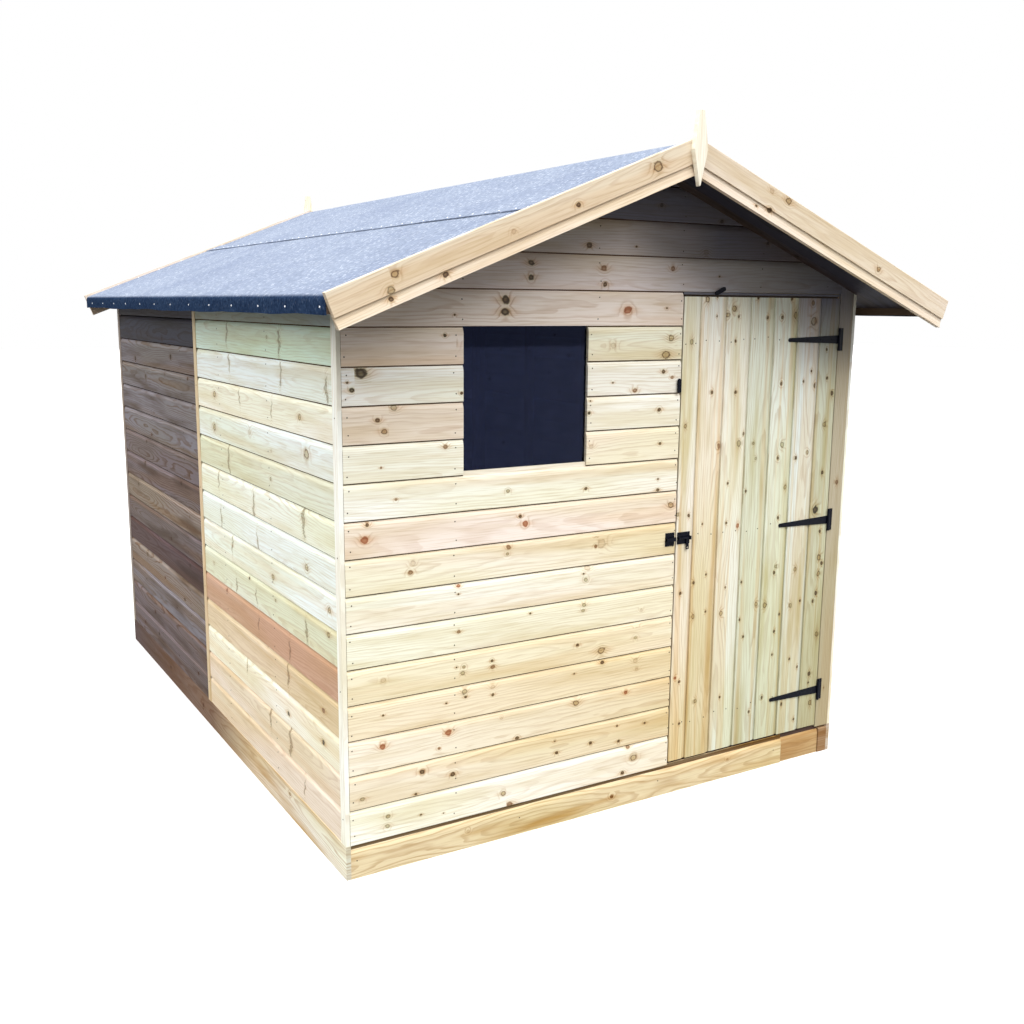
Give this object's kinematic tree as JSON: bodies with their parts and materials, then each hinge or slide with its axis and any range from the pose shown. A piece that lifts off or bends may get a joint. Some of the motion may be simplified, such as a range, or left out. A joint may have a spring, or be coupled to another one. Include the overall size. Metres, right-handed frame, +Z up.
{
  "type": "wooden garden shed",
  "caption": "Apex garden shed clad in shiplap boards, with a ledged door on T hinges, a pad bolt, turn buttons, a fixed window and a felted roof.",
  "frame": {"origin": "centre of the shed's outline, on the ground", "axes": "+X to the right along the front, +Y back from the door wall, +Z up"},
  "size_m": [2.42, 3.33, 2.374],
  "materials": {
    "cladding_timber": "pressure-treated softwood, planed and unpainted",
    "door_timber": "pressure-treated softwood, pale with a green cast",
    "bargeboard_timber": "planed softwood, warm and clean",
    "framing_timber": "sawn treated framing timber",
    "roof_and_floor_boards": "tongued boards, sawn inside face",
    "plinth_timber": "treated softwood, stained near the ground",
    "mineral_felt": "mineral-faced roofing felt",
    "window_glass": "clear sheet glass",
    "black_ironwork": "black japanned steel"
  },
  "bodies": {
    "shed": {"bolt_keep": "black_ironwork", "cover_strips": "cladding_timber", "door_stops": "framing_timber", "eaves_fascias": "framing_timber", "eaves_felt": "mineral_felt", "finials": "bargeboard_timber", "floor_bearers": "framing_timber", "floor_boards": "roof_and_floor_boards", "front_bargeboards": "bargeboard_timber", "front_board_over_window": "cladding_timber", "front_boards_below_window": "cladding_timber", "front_boards_beside_window": "cladding_timber", "front_gable": "cladding_timber", "front_plinth": "plinth_timber", "front_sill_bearer": "plinth_timber", "front_wall_rails": "framing_timber", "front_wall_studs": "framing_timber", "gable_rafters": "framing_timber", "hinge_plates": "black_ironwork", "hinge_post": "cladding_timber", "left_roof_deck": "roof_and_floor_boards", "left_wall_front_panel": "cladding_timber", "left_wall_rear_panel": "cladding_timber", "rear_bargeboards": "bargeboard_timber", "rear_plinth": "plinth_timber", "rear_wall": "cladding_timber", "rear_wall_rails": "framing_timber", "rear_wall_studs": "framing_timber", "ridge_felt": "mineral_felt", "right_roof_deck": "roof_and_floor_boards", "right_wall_front_panel": "cladding_timber", "right_wall_rear_panel": "cladding_timber", "roof_purlins": "framing_timber", "side_plinths": "plinth_timber", "side_wall_rails": "framing_timber", "side_wall_studs": "framing_timber", "window_beads": "framing_timber", "window_glass": "window_glass"},
    "door": {"door_boards": "door_timber", "door_ledges": "door_timber", "hinge_straps": "black_ironwork", "bolt_plate": "black_ironwork"},
    "bolt": {"bolt": "black_ironwork"},
    "top_button": {"top_turn_button": "black_ironwork"},
    "side_button": {"side_turn_button": "black_ironwork"}
  },
  "joints": [
    {"name": "door_swing", "type": "hinge", "parent": "shed", "child": "door", "pos_m": [0.9765, -1.3525, 0], "axis": [0, 0, 1], "range_deg": [0, 75]},
    {"name": "bolt_slide", "type": "slide", "parent": "door", "child": "bolt", "axis": [-1, 0, 0], "range_m": [0, 0.028]},
    {"name": "top_button_turn", "type": "hinge", "parent": "shed", "child": "top_button", "pos_m": [0.373, -1.351, 1.844], "axis": [0, -1, 0], "continuous": true},
    {"name": "side_button_turn", "type": "hinge", "parent": "shed", "child": "side_button", "pos_m": [0.204, -1.351, 1.519], "axis": [0, -1, 0], "continuous": true}
  ]
}
